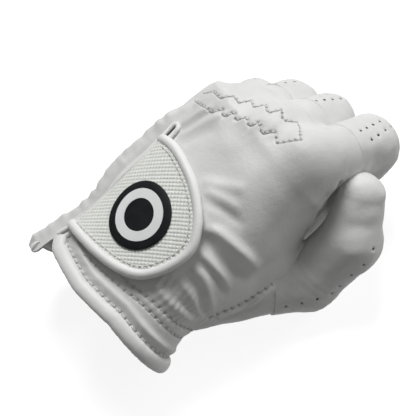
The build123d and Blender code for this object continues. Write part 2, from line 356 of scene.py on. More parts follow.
def piece(name, verts, faces, material, slot, smooth=50.0):
    """New object from points in hand axes, shaded smooth except at edges sharper than smooth."""
    mesh = bpy.data.meshes.new(name)
    mesh.from_pydata([tuple(v) for v in to_row(verts)], [], [tuple(map(int, f)) for f in faces])
    mesh.validate()
    bm = bmesh.new()
    bm.from_mesh(mesh)
    bmesh.ops.recalc_face_normals(bm, faces=bm.faces)
    limit = math.radians(smooth)
    for face in bm.faces:
        face.smooth = True
    for edge in bm.edges:
        if len(edge.link_faces) == 2 and edge.calc_face_angle(0) > limit:
            edge.smooth = False
    bm.to_mesh(mesh)
    bm.free()
    mesh.materials.append(material)
    obj = bpy.data.objects.new(name, mesh)
    bpy.context.scene.collection.objects.link(obj)
    return obj


def refine(verts, faces, chosen):
    """Splits the chosen faces round their centres; their neighbours take in the new edge points."""
    verts = list(map(tuple, verts))
    middle = {}

    def key(a, b):
        return (a, b) if a < b else (b, a)

    for face, pick in zip(faces, chosen):
        if pick:
            for a, b in zip(face, face[1:] + face[:1]):
                if key(a, b) not in middle:
                    middle[key(a, b)] = len(verts)
                    verts.append(tuple((verts[a][i] + verts[b][i]) / 2 for i in range(3)))
    made = []
    for face, pick in zip(faces, chosen):
        mids = [middle.get(key(a, b)) for a, b in zip(face, face[1:] + face[:1])]
        if pick:
            centre = len(verts)
            verts.append(tuple(sum(verts[v][i] for v in face) / len(face) for i in range(3)))
            made += [(mids[i - 1], v, mids[i], centre) for i, v in enumerate(face)]
        elif any(m is not None for m in mids):
            made.append(tuple(v for pair in zip(face, mids) for v in pair if v is not None))
        else:
            made.append(face)
    return np.array(verts), made


def largest(verts, faces):
    """The biggest connected part of a mesh."""
    parent = list(range(len(verts)))

    def top(i):
        while parent[i] != i:
            parent[i] = parent[parent[i]]
            i = parent[i]
        return i

    for face in faces:
        first = top(face[0])
        for other in face[1:]:
            parent[top(other)] = first
    tops = np.array([top(face[0]) for face in faces])
    names, counts = np.unique(tops, return_counts=True)
    kept = [face for face, t in zip(faces, tops) if t == names[np.argmax(counts)]]
    return compact(verts, kept)


def nearest(points, spots):
    """Distance from each point to the nearest of a few spots."""
    tree = KDTree(len(spots))
    for i, spot in enumerate(spots):
        tree.insert(spot, i)
    tree.balance()
    return np.array([tree.find(point)[2] for point in points])


def refine_near(verts, faces, spots, reach=1.5):
    """Two rounds of finer mesh round small details."""
    for share in (1.0, 0.7):
        close = nearest(verts, spots) < reach * share
        verts, faces = refine(verts, faces, [any(close[v] for v in face) for face in faces])
    return verts, faces


# ---- lines on the leather

def on_hand(x, angle, lift=0.0):
    """Point on the plain hand section; angle from the back of the hand towards the little finger."""
    a, b, cy, cz = section(x)
    turn = np.radians(angle)
    s, c = np.sin(turn), np.cos(turn)
    r = 1.0 / (np.abs(s) ** ROUND + np.abs(c) ** ROUND) ** (1 / ROUND)
    return np.stack([x + 0 * s, cy + (a * r + lift) * s, cz + (b * r + lift) * c], -1)


def settle(points, field=hand_field):
    """Moves points onto a field's surface."""
    p = np.array(points, float)
    for _ in range(8):
        p = p - field(p)[:, None] * gradient(field, p)
    return p


def spread(points, step):
    """Evenly spaced points along a line of straight runs."""
    points = np.asarray(points, float)
    runs = np.linalg.norm(np.diff(points, axis=0), axis=1)
    lengths = np.concatenate([[0], np.cumsum(runs)])
    at = np.linspace(0, lengths[-1], max(2, round(lengths[-1] / step) + 1))
    return np.column_stack([np.interp(at, lengths, column) for column in points.T])


def curve(points, count=24):
    """Smooth line through a few points."""
    points = np.asarray(points, float)
    padded = np.vstack([2 * points[0] - points[1], points, 2 * points[-1] - points[-2]])
    result = []
    for s in np.linspace(0, len(points) - 1, count):
        i = min(int(s), len(points) - 2)
        t = s - i
        p0, p1, p2, p3 = padded[i:i + 4]
        result.append(0.5 * (2 * p1 + (p2 - p0) * t + (2 * p0 - 5 * p1 + 4 * p2 - p3) * t * t
                             + (3 * p1 - p0 - 3 * p2 + p3) * t ** 3))
    return np.array(result)


def around(route, count=40):
    """Line on the hand through a few (x, angle) places."""
    places = curve(route, count)
    return settle(on_hand(places[:, 0], places[:, 1]))


def from_above(route, step=0.8):
    """Line of straight runs on the back of the hand, from its (x, y) corners."""
    xy = spread(route, step)
    p = np.column_stack([xy, np.full(len(xy), 40.0)])
    for _ in range(40):
        p[:, 2] -= 0.9 * hand_field(p)
    return p


def line_distance(p, line):
    """Distance to a line of points, and how far along it the nearest point is, 0 to 1."""
    best = np.full(len(p), 1e9)
    along = np.zeros(len(p))
    spans = len(line) - 1
    for i in range(spans):
        start, step = line[i], line[i + 1] - line[i]
        rel = p - start
        t = np.clip(rel @ step / (step @ step), 0, 1)
        d = np.linalg.norm(rel - t[:, None] * step, axis=1)
        closer = d < best
        best[closer] = d[closer]
        along[closer] = (i + t[closer]) / spans
    return best, along


def near(p, line, reach):
    """Which points lie within reach of the box round a line."""
    low, high = line.min(0) - reach, line.max(0) + reach
    return np.nonzero(((p > low) & (p < high)).all(1))[0]


def fold(p, line, height, width, fade=0.25):
    """Raised fold, or a crease when height is negative, dying away at both ends."""
    ids = near(p, line, width * 4)
    lift = np.zeros(len(p))
    if len(ids):
        d, along = line_distance(p[ids], line)
        ends = np.clip(np.minimum(along, 1 - along) / fade, 0, 1)
        lift[ids] = height * np.exp(-(d / width) ** 2) * ends * ends * (3 - 2 * ends)
    return lift


def ripple(p, seed, wavelength, strength=1.0):
    """Soft random unevenness from a few sine waves."""
    rng = np.random.default_rng(seed)
    total = np.zeros(len(p))
    waves = 14
    for _ in range(waves):
        direction = rng.normal(size=3)
        direction /= np.linalg.norm(direction)
        pitch = wavelength * rng.uniform(0.7, 1.5)
        total += np.sin(p @ direction * 2 * math.pi / pitch + rng.uniform(0, 2 * math.pi))
    return strength * total / math.sqrt(waves / 2)


def bump(value, centre, width):
    """1 at the centre, falling away on both sides."""
    return np.exp(-((value - centre) / width) ** 2)


def ramp(value, low, high):
    """0 below low, 1 above high, smooth between."""
    t = np.clip((value - low) / (high - low), 0, 1)
    return t * t * (3 - 2 * t)


def hand_angle(p):
    """Angle round the hand, from its back towards the little finger, in degrees."""
    a, b, cy, cz = section(p[:, 0])
    return np.degrees(np.arctan2((p[:, 1] - cy) / a, (p[:, 2] - cz) / b))


# ---- places on the glove

CUFF_EDGE = (            # angle, x of the cuff's edge
    (-180, -1.0), (-120, 0.5), (-95, 0.8), (-33, 1.6), (-2, -1.3), (30, -0.6), (38, 1.8),
    (43, -8.0), (55, -9.0), (100, -9.0), (140, -5.0), (180, -1.0))
SLIT_ROUTE = ((-14, 39.5), (20, 39.0), (48, 38.5), (62.0, 41.0))   # x and angle
SLIT_HALF = 1.5          # half of the slit's width
SEAM_ANGLE = 42.5        # the closure tab is sewn down along this angle
BADGE_AT = (34.4, 23.5)  # x and distance from the tab seam
BADGE_RADIUS = 12.6
TAB_MIDDLE = (34, 22)    # x and distance from the tab seam
TAB_EDGE = (             # x and distance from the tab seam, round the three free edges
    (9.5, 0.0), (10.2, 8.0), (12.4, 23.0), (16.0, 34.5), (21.5, 42.5), (31.0, 46.8), (41.5, 47.3),
    (49.0, 43.0), (54.5, 36.0), (58.6, 26.0), (60.0, 12.0), (57.0, 0.0))


def cuff_x(angle):
    """Where the cuff's edge is at an angle round the hand."""
    return np.interp(angle, [c[0] for c in CUFF_EDGE], [c[1] for c in CUFF_EDGE])


# Distance round the hand at the middle of the tab, from the tab seam, for each of many angles
tab_angles = np.arange(100.0, -100.0, -0.5)
round_hand = on_hand(np.full(len(tab_angles), 33.0), tab_angles, 3.0)
tab_reaches = np.concatenate([[0], np.cumsum(np.linalg.norm(np.diff(round_hand, axis=0), axis=1))])
tab_reaches -= np.interp(-SEAM_ANGLE, -tab_angles, tab_reaches)


def tab_reach(angle):
    """Distance round the hand from the tab seam towards the thumb, for an angle."""
    return np.interp(-angle, -tab_angles, tab_reaches)


def tab_surface(x, t, lift=0.0):
    """Point on the closure tab's face: x along the hand, t from its seam."""
    angle = np.interp(t, tab_reaches, tab_angles)
    rise = 1.3 + 2.5 * ramp(t, -0.5, 6.0) + 0.9 * ramp(t, 34.0, 50.0)
    return on_hand(x, angle, rise + lift)


slit_line = around(SLIT_ROUTE, 60)
seam_line = around([(x, SEAM_ANGLE + 1.6) for x in (8, 24, 40, 58)], 60)
thumb_seam = settle(curve((
    (28, -31.5, -7.5), (38, -33.5, -11.8), (46, -34.5, -14), (57, -34.5, -16.8), (65, -34.5, -18.5),
    (72, -34.9, -17.7), (78.5, -34.5, -15.2)), 50))
key_slot = settle(curve((
    (78.5, -34.5, -15.2), (83, -31.7, -14), (90, -31.8, -11.4), (99, -30, -9.4)), 24))
key_rim = settle(key_slot + vec(0, 0, 3.6))
ZIGZAG_LOW = (           # x and y of the corners of the two zigzag rows over the knuckles
    (96, -11.5), (88.5, -6), (91, -1.5), (86.5, 0.5), (89, 5), (84.5, 6), (86.5, 10), (82, 12), (84, 15.5),
    (79, 16.5), (81, 19.5), (77, 22), (74, 34))
ZIGZAG_HIGH = (
    (96, -11.5), (99.5, -2), (95.5, 0.5), (98, 5), (93, 6.5), (94.5, 11.5), (90, 13.5), (91, 17),
    (86.5, 18.5), (87, 22), (82.5, 24), (82, 30), (78, 35))
cuff_turns = np.arange(36.0, -150.0, -3.0)
STITCHES = {             # lines, spacing, thread radius
    "cuff_threads": ([settle(on_hand(cuff_x(cuff_turns) + 5.6, cuff_turns))], 3.0, 0.32),
    "elastic_threads": ([
        around(((15, -16), (18.5, -47), (19, -86), (19.5, -125)), 60),
        around(((8.8, 12), (12.5, -20), (15.2, -47), (14.8, -99), (15, -128)), 60)], 3.1, 0.18),
    "knuckle_threads": ([from_above(ZIGZAG_LOW), from_above(ZIGZAG_HIGH)], 2.3, 0.24),
    "tab_threads": ([seam_line], 2.3, 0.26),
    "thumb_threads": (
        [settle(thumb_seam[cut_side(thumb_seam, "thumb") < 0] + vec(0, 0, 2.0))], 2.9, 0.3),
}
needle_holes = {
    name: [spread(line, spacing) for line in lines]
    for name, (lines, spacing, _) in STITCHES.items()}
all_needle_holes = np.concatenate([row for rows in needle_holes.values() for row in rows])

# Folds over the thumb side of the wrist, then round the end of the slit. Each is a route of
# (x, angle) places, a height, less than zero for a crease, and a width.
FOLDS = [(around(route), height, width) for route, height, width in (
    (((57, -2), (62, -13), (67, -25), (70, -34)), 0.6, 2.2),
    (((56, -8), (59.5, -19), (62, -29), (64, -41)), 0.8, 2.0),
    (((54, -14), (57, -24), (59.5, -36), (61, -50)), -0.6, 1.8),
    (((48, -22), (50.5, -28), (53, -44), (54, -74), (53, -112)), 2.0, 2.3),
    (((45, -26), (46.8, -32), (47, -50), (47, -78), (47, -112)), -2.0, 2.2),
    (((43, -34), (43.5, -50), (42.5, -72), (40, -100)), 1.0, 1.6),
    (((40.5, -40), (40.5, -58), (39.5, -80), (37, -104)), -0.7, 1.2),
    (((38, -40), (37.6, -58), (34, -80), (30, -106)), 1.1, 1.6),
    (((34, -44), (33, -62), (30, -84), (27.5, -108)), -0.8, 1.3),
    (((31, -42), (30, -60), (28, -80), (26, -100)), 0.7, 1.3),
    (((26, -52), (25.5, -70), (25, -96)), -0.5, 1.1),
    (((10, -40), (9.5, -66), (10, -96)), 0.5, 1.3),
    (((22.5, -30), (23, -60), (23.5, -100)), 0.8, 1.6),
    (((62.5, 40), (68, 38), (72, 36), (80, 30)), 1.0, 1.5),
    (((62, 36), (68, 33), (74, 30), (82, 24)), -0.6, 1.3),
    (((60, 31), (67, 28), (75, 23), (82, 18)), 0.7, 1.5),
    (((60, 24), (68, 20), (77, 13)), -0.4, 1.6),
    (((62, 45), (68, 47), (75, 48)), -0.7, 1.4),
    (((60, 51), (68, 54), (76, 54)), 0.8, 1.7),
    (((40, 62), (52, 70), (66, 74)), -0.8, 1.6),
    (((30, 58), (44, 64), (60, 66)), 0.8, 1.8),
)]


def leather_shape(p):
    """How far the hand's leather stands out of its plain form, in millimetres."""
    x = p[:, 0]
    angle = hand_angle(p)
    past_cuff = x - cuff_x(angle)
    t = tab_reach(angle)
    under_tab = (ramp(t, -2, 2) * (1 - ramp(t, 42, 48)) * ramp(x, 6, 12)
                 * (1 - ramp(x, 54, 60)) * (np.abs(angle) < 90))
    calm = 1 - 0.9 * under_tab
    lift = (ripple(p, 3, 26.0, 0.32) + ripple(p, 4, 11.0, 0.11)) * calm
    for line, height, width in FOLDS:
        lift += fold(p, line, height, width) * calm
    lower = np.clip((-angle - 26) / 16, 0, 1) * np.clip((150 + angle) / 20, 0, 1)
    gathers = bump(x, 24.5, 6.0) * lower
    lift += gathers * 0.22 * np.sin(np.radians(angle) * 58 + 1.6 * np.sin(x * 0.35))
    cuff = ramp(60 - angle, 18, 26)
    lift += (0.8 * bump(past_cuff, 8.8, 1.2) - 0.6 * bump(past_cuff, 6.0, 0.9)) * cuff
    lift += 0.07 * bump(past_cuff, 6.5, 3.0) * np.sin(np.radians(angle) * 47 + 2 * np.sin(x)) * cuff
    lift -= stitch_grooves(p)
    hem = bump(t, -5.6, 3.4) * ramp(x, -12, -4) * (1 - ramp(x, 60, 74)) * (np.abs(angle) < 110)
    lift += hem * (3.3 + 0.22 * ripple(p, 11, 6.0) + 0.14 * ripple(p, 12, 3.0))
    lift -= 0.6 * bump(t, -1.1, 0.7) * ramp(x, 4, 9) * (1 - ramp(x, 57, 62)) * (np.abs(angle) < 110)
    lift += fold(p, thumb_seam, 1.5, 1.1, 0.04)
    lift -= fold(p, thumb_seam - vec(0, 0, 2.6), 1.0, 1.2, 0.05)
    lift += fold(p, key_rim, 1.3, 1.3, 0.15)
    lift -= fold(p, key_slot, 2.4, 2.0, 0.1)
    return lift


zigzag_rows = STITCHES["knuckle_threads"][0]
elastic_rows = STITCHES["elastic_threads"][0]


def stitch_grooves(p):
    """Grooves that rows of stitching pull into the leather, with the puckers of the knuckle elastic."""
    depth = np.zeros(len(p))
    for row in zigzag_rows:
        depth += fold(p, row, 0.2, 0.7, 0.03)
    for row in elastic_rows:
        depth += fold(p, row, 0.3, 0.9, 0.03)
    ids = near(p, zigzag_rows[0], 9)
    inner = np.min([line_distance(p[ids], row)[0] for row in zigzag_rows], axis=0)
    pucker = np.exp(-(inner / 3.0) ** 2) * np.sin(p[ids, 1] * 1.9 + 0.5 * np.sin(p[ids, 0]))
    depth[ids] -= 0.07 * pucker
    return depth


# ---- swept rolls, threads and sheets

def oval(half_width, half_height, sides=12):
    """Corners of an oval section for sweep."""
    turn = np.linspace(0, 2 * math.pi, sides, endpoint=False)
    return np.column_stack([half_width * np.cos(turn), half_height * np.sin(turn)])


def sweep(line, ups, profile, scale=None):
    """Solid bar of a given section along a line; ups point out of the leather."""
    tangent = np.gradient(line, axis=0)
    tangent /= np.linalg.norm(tangent, axis=1, keepdims=True)
    up = ups - (ups * tangent).sum(1, keepdims=True) * tangent
    up /= np.linalg.norm(up, axis=1, keepdims=True)
    side = np.cross(tangent, up)
    scale = np.ones(len(line)) if scale is None else scale
    rings = line[:, None] + scale[:, None, None] * (
        side[:, None] * profile[None, :, 0:1] + up[:, None] * profile[None, :, 1:2])
    n, m = len(line), len(profile)
    faces = []
    for i in range(n - 1):
        for j in range(m):
            k = (j + 1) % m
            faces.append((i * m + j, i * m + k, (i + 1) * m + k, (i + 1) * m + j))
    faces.append(tuple(range(m)))
    faces.append(tuple((n - 1) * m + j for j in reversed(range(m))))
    return rings.reshape(-1, 3), faces


def join(parts):
    """Several meshes as one."""
    verts, faces, count = [], [], 0
    for v, f in parts:
        verts.append(v)
        faces += [tuple(i + count for i in face) for face in f]
        count += len(v)
    return np.concatenate(verts), faces


def threads(rows, radius, place):
    """One arched stitch between each pair of needle holes; place puts points on the surface."""
    share = np.array([0.14, 0.2, 0.35, 0.5, 0.65, 0.8, 0.86])
    height = np.array([-0.55, 0.0, 0.5, 0.6, 0.5, 0.0, -0.55])
    size = np.array([0.45, 0.95, 1.0, 1.0, 1.0, 0.95, 0.45])
    parts = []
    for row in rows:
        for start, end in zip(row[:-1], row[1:]):
            line = start + share[:, None] * (end - start)
            line, ups = place(line)
            parts.append(sweep(line + ups * (height * radius)[:, None], ups, oval(radius, radius, 7), size))
    return join(parts)


def place_on_leather(line):
    """A stitch's points on the finished leather, and the directions out of it."""
    ups = gradient(hand_field, line)
    flat = settle(line[[0, -1]])
    lifts = leather_shape(flat)
    base = settle(line)
    return base + ups * np.linspace(lifts[0], lifts[1], len(line))[:, None], ups


def grid_quads(n, m):
    """Faces of a grid of n by m points."""
    index = np.arange(n * m).reshape(n, m)
    quads = np.stack([index[:-1, :-1], index[1:, :-1], index[1:, 1:], index[:-1, 1:]], -1)
    return [tuple(q) for q in quads.reshape(-1, 4).tolist()]


def sheet(outer, inner):
    """Closed plate between two grids of points."""
    return closed(outer.reshape(-1, 3), inner.reshape(-1, 3), grid_quads(*outer.shape[:2]))


def band(x_low, x_high, angle_low, angle_high, lift, thick, wave=0.0):
    """Strip inside or on the hand between two x and two angles."""
    x, angle = np.meshgrid(
        np.linspace(x_low, x_high, 24), np.linspace(angle_low, angle_high, 90), indexing="ij")
    rib = wave * np.sin(x * 5.0) * np.cos(np.radians(angle) * 60)
    return sheet(on_hand(x, angle, lift + rib), on_hand(x, angle, lift - thick + 0 * x))


def outline_depth(x, t):
    """Distance inside the tab's outline, negative outside; its seam edge counts as far away."""
    edge = curve(TAB_EDGE, 90)
    flat = np.column_stack([x, t, np.zeros(len(x))])
    line = np.column_stack([edge, np.zeros(len(edge))])
    d, _ = line_distance(flat, line)
    ring = np.vstack([edge, (57, -40), (9.5, -40)])
    inside = np.zeros(len(x), bool)
    for (x0, t0), (x1, t1) in zip(ring, np.roll(ring, -1, axis=0)):
        crosses = (t0 > t) != (t1 > t)
        at = x0 + (t - t0) * (x1 - x0) / (t1 - t0 if t1 != t0 else 1e-9)
        inside ^= crosses & (x < at)
    return np.where(inside, d, -d)


def tab_plate(inset, top, bottom, cell, relief=None):
    """Plate that follows the tab's face, cut to its outline."""
    xs, ts = np.arange(8.0, 62.0, cell), np.arange(0.0, 49.0, cell)
    x, t = (g.ravel() for g in np.meshgrid(xs, ts, indexing="ij"))
    flat = np.column_stack([x, t, np.zeros(len(x))])
    flat, faces = clip(flat, grid_quads(len(xs), len(ts)), inset - outline_depth(x, t))
    x, t = flat[:, 0], flat[:, 1]
    upper = tab_surface(x, t, top + (relief(x, t) if relief else 0.0))
    return closed(upper, tab_surface(x, t, bottom), faces)


WEAVE = 1.35             # pitch of the tab's woven face


def weave(x, t):
    """Raised crossings of a mesh fabric set at 45 degrees."""
    u = (x + t) * math.pi / WEAVE / math.sqrt(2)
    v = (x - t) * math.pi / WEAVE / math.sqrt(2)
    return 0.42 * np.abs(np.cos(u) * np.cos(v)) ** 0.7 - 0.2


# ---- materials

def nodes_of(name):
    """New material with its node tree and shader."""
    material = bpy.data.materials.new(name)
    material.use_nodes = True
    tree = material.node_tree
    return material, tree, tree.nodes["Principled BSDF"]


def texture(tree, kind, scale, **inputs):
    """Texture node in object coordinates."""
    node = tree.nodes.new(kind)
    coords = tree.nodes.new("ShaderNodeTexCoord")
    tree.links.new(coords.outputs["Object"], node.inputs["Vector"])
    node.inputs["Scale"].default_value = scale
    for key, value in inputs.items():
        node.inputs[key].default_value = value
    return node


def surface(name, low, high, roughness, layers, tone_scale=60.0, sheen=0.0):
    """Material with an uneven tone between two colours, and bump layers.

    Each layer is a kind of texture, a scale, a strength and a depth in metres.
    """
    material, tree, shader = nodes_of(name)
    tone = texture(tree, "ShaderNodeTexNoise", tone_scale, Detail=5.0, Roughness=0.6)
    colours = tree.nodes.new("ShaderNodeValToRGB")
    for element, place, colour in zip(colours.color_ramp.elements, (0.3, 0.7), (low, high)):
        element.position = place
        element.color = (*colour, 1)
    tree.links.new(tone.outputs["Fac"], colours.inputs["Fac"])
    tree.links.new(colours.outputs["Color"], shader.inputs["Base Color"])
    normal = None
    for kind, scale, strength, depth in layers:
        source = texture(tree, "ShaderNodeTex" + kind, scale)
        node = tree.nodes.new("ShaderNodeBump")
        node.inputs["Strength"].default_value = strength
        node.inputs["Distance"].default_value = depth
        tree.links.new(source.outputs["Distance" if kind == "Voronoi" else "Fac"], node.inputs["Height"])
        if normal is not None:
            tree.links.new(normal, node.inputs["Normal"])
        normal = node.outputs["Normal"]
    tree.links.new(normal, shader.inputs["Normal"])
    shader.inputs["Roughness"].default_value = roughness
    shader.inputs["Specular IOR Level"].default_value = 0.35
    shader.inputs["Sheen Weight"].default_value = sheen
    return material


GRAIN = (("Noise", 190.0, 0.2, 0.0006), ("Noise", 560.0, 0.26, 0.0003), ("Voronoi", 1500.0, 0.12, 0.00025))
leather = surface(
    "white_leather", (0.68, 0.68, 0.67), (0.76, 0.76, 0.75), 0.5, GRAIN, 45.0, 0.1)
roll = surface(
    "white_roll", (0.78, 0.78, 0.77), (0.85, 0.85, 0.84), 0.45,
    (("Noise", 260.0, 0.3, 0.0005), ("Voronoi", 1700.0, 0.1, 0.0002)))
thread = surface(
    "white_thread", (0.55, 0.55, 0.54), (0.70, 0.70, 0.69), 0.6,
    (("Noise", 3000.0, 0.5, 0.0002),), 400.0)
stretch = surface(
    "white_elastic", (0.62, 0.62, 0.60), (0.74, 0.74, 0.72), 0.8,
    (("Voronoi", 1300.0, 0.6, 0.0004),))
label = surface(
    "grey_label", (0.50, 0.51, 0.52), (0.60, 0.61, 0.62), 0.75,
    (("Voronoi", 2200.0, 0.5, 0.0003),))
loops = surface(
    "loop_fabric", (0.66, 0.66, 0.65), (0.80, 0.80, 0.79), 0.95,
    (("Noise", 900.0, 0.9, 0.0008), ("Voronoi", 2400.0, 0.5, 0.0004)), 300.0, 0.4)
hooks = surface(
    "hook_tape", (0.64, 0.65, 0.66), (0.76, 0.77, 0.78), 0.55,
    (("Voronoi", 1100.0, 0.9, 0.0008),), 300.0)
woven = surface(
    "woven_mesh", (0.74, 0.75, 0.71), (0.84, 0.85, 0.81), 0.6,
    (("Noise", 2600.0, 0.4, 0.0002),), 500.0)
rubber = surface(
    "black_rubber", (0.008, 0.009, 0.010), (0.016, 0.017, 0.019), 0.5,
    (("Noise", 700.0, 0.12, 0.0002),), 200.0)
rubber.node_tree.nodes["Principled BSDF"].inputs["Specular IOR Level"].default_value = 0.12
ink = surface(
    "white_print", (0.76, 0.78, 0.77), (0.82, 0.84, 0.83), 0.5,
    (("Noise", 900.0, 0.15, 0.0002),), 200.0)

# ---- hand, thumb root and finger bases

def hand_piece():
    """The hand's skin, open at the cuff, the slit and where each finger's own piece starts."""
    verts, faces = skin(hand_field, (-14, -62, -52), (126, 60, 34), CELL)
    verts, faces = clip(verts, faces, cuff_x(hand_angle(verts)) - verts[:, 0])
    slit_gap = np.full(len(verts), -5.0)
    ids = near(verts, slit_line, 3.0)
    slit_gap[ids] = SLIT_HALF - line_distance(verts[ids], slit_line)[0]
    verts, faces = clip(verts, faces, slit_gap)
    for digit in DIGITS:
        past = cut_side(verts, digit)
        rest = np.min([root_form(verts, other) for other in DIGITS if other != digit], axis=0)
        rest = np.minimum(rest, palm_form(verts))
        margin = WEB_SHARE * thumb_blend(verts) if digit == "thumb" else 0.0
        verts, faces = clip(verts, faces, np.minimum(past, rest - root_form(verts, digit) - margin))
    verts, faces = largest(verts, faces)
    verts, faces = refine_near(verts, faces, all_needle_holes)
    outward = gradient(hand_field, verts)
    pits = NEEDLE_DEPTH * np.exp(-(nearest(verts, all_needle_holes) / NEEDLE_RADIUS) ** 2)
    lift = leather_shape(verts) - pits
    return piece("glove_trank", *thicken(verts + outward * lift[:, None], faces), leather, "leather")


hand = hand_piece()

# ---- fingers and thumb

VENTS = {                # rows of small holes: start, end, how many
    "index": (((112.8, -11, -11.4), (119.6, -8.6, -20.4), 4), ((113.4, -14.8, -14.2), (120.8, -11, -24), 4)),
    "middle": (((107.5, 18, -15), (112.2, 15.6, -19.6), 3), ((108, 11.4, -11.3), (115.1, 10.7, -21.1), 4)),
    "ring": (((99.8, 30.5, -14.8), (105.8, 30.7, -22.1), 3), ((97.5, 35.5, -17), (103, 36, -24), 3)),
    "little": (((90, 42, -20), (94, 47, -27), 2),),
    "thumb": (((50, -40, -24), (66, -45, -30.2), 4), ((70, -45.4, -29.2), (89, -45.2, -22.4), 4)),
}


def on_base(p, points):
    """True where the nearest segment is the first one."""
    first = cone(p, points[0], points[1], 9, 9)
    return first < np.minimum(cone(p, points[1], points[2], 9, 9), cone(p, points[2], points[3], 9, 9))


def digit_pieces(name):
    """A finger from its cut to its tip, in two parts that meet halfway between its outer joints."""
    points, _ = DIGITS[name]
    cloud = np.array(points, float)

    def form(p):
        return finger_field(p, name)

    verts, faces = skin(form, cloud.min(0) - 15, cloud.max(0) + 15, CELL)
    verts, faces = clip(verts, faces, np.where(on_base(verts, points), -cut_side(verts, name), -1.0))
    rows = [np.linspace(vec(*start), vec(*end), count) for start, end, count in VENTS[name]]
    spots = settle(np.concatenate(rows), form)
    verts, faces = refine_near(verts, faces, spots)
    verts, faces = clip(verts, faces, VENT_RADIUS - nearest(verts, spots))
    outward = gradient(form, verts)
    wrinkle = ripple(verts, 7, 13.0, 0.13) + ripple(verts, 8, 6.0, 0.06)
    dimple = 0.2 * np.exp(-((nearest(verts, spots) - VENT_RADIUS) / 0.5) ** 2)
    middle, end = vec(*points[1]), vec(*points[2])
    axis = end - middle
    length = np.linalg.norm(axis)
    along = (verts - middle) @ axis / length
    half = np.where(on_base(verts, points), -1.0, along - length / 2)
    fade = ramp(np.abs(half + length / 2), 0, 14)
    creases = 0.1 * (1 - fade) * np.sin(along * 2.1)
    verts = rest_on_floor(verts + outward * (wrinkle - dimple + creases)[:, None])
    return clip(verts, faces, half), clip(verts, faces, -half)


digit_objects = {}
for digit in DIGITS:
    first, last = digit_pieces(digit)
    digit_objects[digit] = (
        piece(digit + "_finger", *thicken(*first), leather, "leather"),
        piece(digit + "_fingertip", *thicken(*last), leather, "leather"))

# ---- cuff, slit and stitching

cuff_turn = np.concatenate([np.arange(37.5, -180.0, -1.5), np.arange(180.0, 44.0, -1.5)])
thinner = ramp(cuff_turn, 40, 60) * 0.35      # the cuff's roll is thinner beyond the slit
cuff_line = settle(on_hand(cuff_x(cuff_turn) + 2.3, cuff_turn))
cuff_line += gradient(hand_field, cuff_line) * 0.35
cuff_count = np.arange(len(cuff_line))
waver = 1 + 0.015 * np.sin(cuff_count * 0.9) + 0.02 * np.sin(cuff_count * 2.3)
cuff_roll = piece("cuff_roll", *sweep(
    cuff_line, gradient(hand_field, cuff_line), oval(2.8, 1.6, 20), (1 - thinner) * waver), roll, "binding")


def slit_path(offset):
    """Line round the slit at a distance from its centre: out along one side, round its end and back."""
    centre = slit_line[slit_line[:, 0] > 2.0]
    ups = gradient(hand_field, centre)
    along = np.gradient(centre, axis=0)
    along /= np.linalg.norm(along, axis=1, keepdims=True)
    side = np.cross(ups, along)
    turn = np.linspace(0, math.pi, 9)[1:-1, None]
    end = centre[-1] + offset * (np.sin(turn) * along[-1] - np.cos(turn) * side[-1])
    path = np.concatenate([centre - side * offset, end, (centre + side * offset)[::-1]])
    return settle(spread(path, 0.8))


slit_edge = slit_path(SLIT_HALF + 0.45)
slit_ups = gradient(hand_field, slit_edge)
slit_roll = piece("slit_roll", *sweep(
    slit_edge + slit_ups * 0.3, slit_ups, oval(0.95, 0.95)), roll, "binding")
thread_objects = {}
for name, rows in needle_holes.items():
    thread_objects[name] = piece(name, *threads(rows, STITCHES[name][2], place_on_leather), thread, "thread")

# The strip lies on the hand on one side of the seam and passes under the tab on the other.
strip_x, strip_t = np.meshgrid(
    np.linspace(9.8, 56.5, 50), np.linspace(-2.4, 4.0, 17), indexing="ij")
strip_lift = 0.15 - 1.05 * ramp(strip_t, -1.0, 1.5)
tab_seam = piece("tab_seam_strip", *sheet(
    tab_surface(strip_x, strip_t, strip_lift),
    tab_surface(strip_x, strip_t, strip_lift - LEATHER)), leather, "leather")
loop_patch = piece("loop_patch", *band(19, 49, -21, 24, 0.95, 0.9, 0.12), loops, "loop_fabric")
wrist_band = piece("wrist_elastic_strip", *band(12, 22, -84, -12, -1.6, 0.8, 0.1), stretch, "elastic")
palm_band = piece("palm_elastic_strip", *band(12, 22, -170, -110, -1.6, 0.8, 0.1), stretch, "elastic")
size_tag = piece("size_tag", *band(4, 15, 170, 190, -1.4, 0.4, 0.03), label, "label")
knuckle_places = from_above(ZIGZAG_LOW)[10:-10:3]
knuckle_ups = gradient(hand_field, knuckle_places)
knuckle_band = piece("knuckle_elastic_strip", *sweep(
    knuckle_places - knuckle_ups * 2.6 + vec(4, 0, -1.5), knuckle_ups, oval(3.2, 0.5)), stretch, "elastic")

# ---- closure tab and badge

tab_face = piece("tab_weave", *tab_plate(2.4, 0.15, -0.7, 0.27, weave), woven, "woven_face")
tab_under = piece("tab_underside", *tab_plate(0.9, -0.7, -1.5, 0.8), leather, "leather")
tab_hooks = piece("hook_patch", *tab_plate(9.0, -1.5, -2.2, 0.5), hooks, "hook_tape")
tab_rim = curve(TAB_EDGE, 140)


def inside_rim(distance):
    """The tab's outline moved in towards its middle."""
    inward = vec(*TAB_MIDDLE) - tab_rim
    return tab_rim + inward / np.linalg.norm(inward, axis=1, keepdims=True) * distance


roll_line = inside_rim(1.5)
rim_line = tab_surface(roll_line[:, 0], roll_line[:, 1], -0.35)
rim_ups = tab_surface(roll_line[:, 0], roll_line[:, 1], 1.0) - rim_line
tab_roll = piece("tab_roll", *sweep(rim_line, rim_ups, oval(1.85, 1.75, 18)), roll, "binding")
tab_edge_holes = spread(inside_rim(4.4)[6:-6], 2.2)


